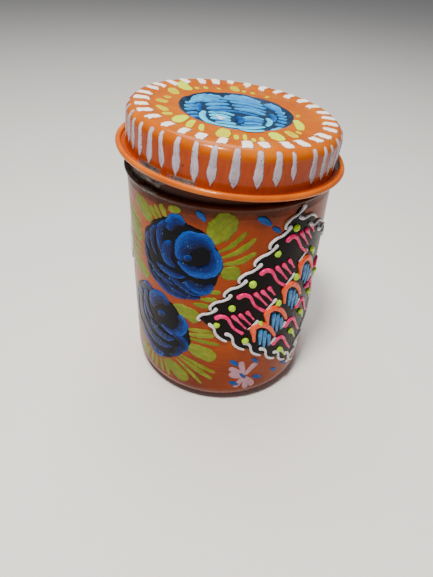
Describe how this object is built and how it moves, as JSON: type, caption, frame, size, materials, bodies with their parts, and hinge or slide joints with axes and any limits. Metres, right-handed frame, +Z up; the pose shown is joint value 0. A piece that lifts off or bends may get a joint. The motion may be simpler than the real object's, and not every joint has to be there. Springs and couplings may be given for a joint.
{
  "type": "hand-painted spice tin",
  "caption": "Round drawn-steel spice tin with a beaded neck and a slip-on pressed lid, hand painted with roses, leaves and a raised-line panel.",
  "frame": {"origin": "centre of the underside, on the surface that the tin stands on", "axes": "+Z up along the tin's axis, -Y towards the painted front, +X to the viewer's right, where the askew lid is seated"},
  "size_m": [0.0873, 0.0876, 0.1205],
  "materials": {
    "tin_enamel": "glossy hand-brushed enamel over drawn steel, bare and worn on the bead, the neck and inside",
    "lid_enamel": "glossy orange enamel over pressed steel, bare in patches beside the rolled rim",
    "black_paint": "semi-gloss brushed black paint",
    "white_relief": "satin raised relief paint",
    "pink_relief": "glossy raised relief paint",
    "lime_relief": "glossy raised relief paint",
    "orange_relief": "glossy raised relief paint",
    "sky_relief": "glossy raised relief paint",
    "rose_paint": "glossy brushed blue paint over a near-black ground",
    "leaf_paint": "glossy brushed green paint, thin enough for the orange to show",
    "pale_paint": "thin translucent pale paint",
    "lid_rose_paint": "glossy brushed light-blue paint",
    "lid_leaf_paint": "glossy brushed yellow-green paint",
    "stroke_white": "satin brushed off-white paint with fine pinholes"
  },
  "bodies": {
    "tin": {"tin_body": "tin_enamel", "black_panels": "black_paint", "white_piping": "white_relief", "pink_trails": "pink_relief", "lime_dots": "lime_relief", "orange_arches": "orange_relief", "blue_ribs": "sky_relief", "rose_grounds": "rose_paint", "green_leaves": "leaf_paint", "pale_flowers": "pale_paint"},
    "lid": {"lid_cap": "lid_enamel", "lid_rose": "lid_rose_paint", "lid_leaves": "lid_leaf_paint", "lid_top_strokes": "stroke_white", "lid_skirt_strokes": "stroke_white"}
  },
  "joints": [
    {"name": "lid_lift", "type": "slide", "parent": "tin", "child": "lid", "axis": [0, 0, 1], "range_m": [0, 0.06]}
  ]
}
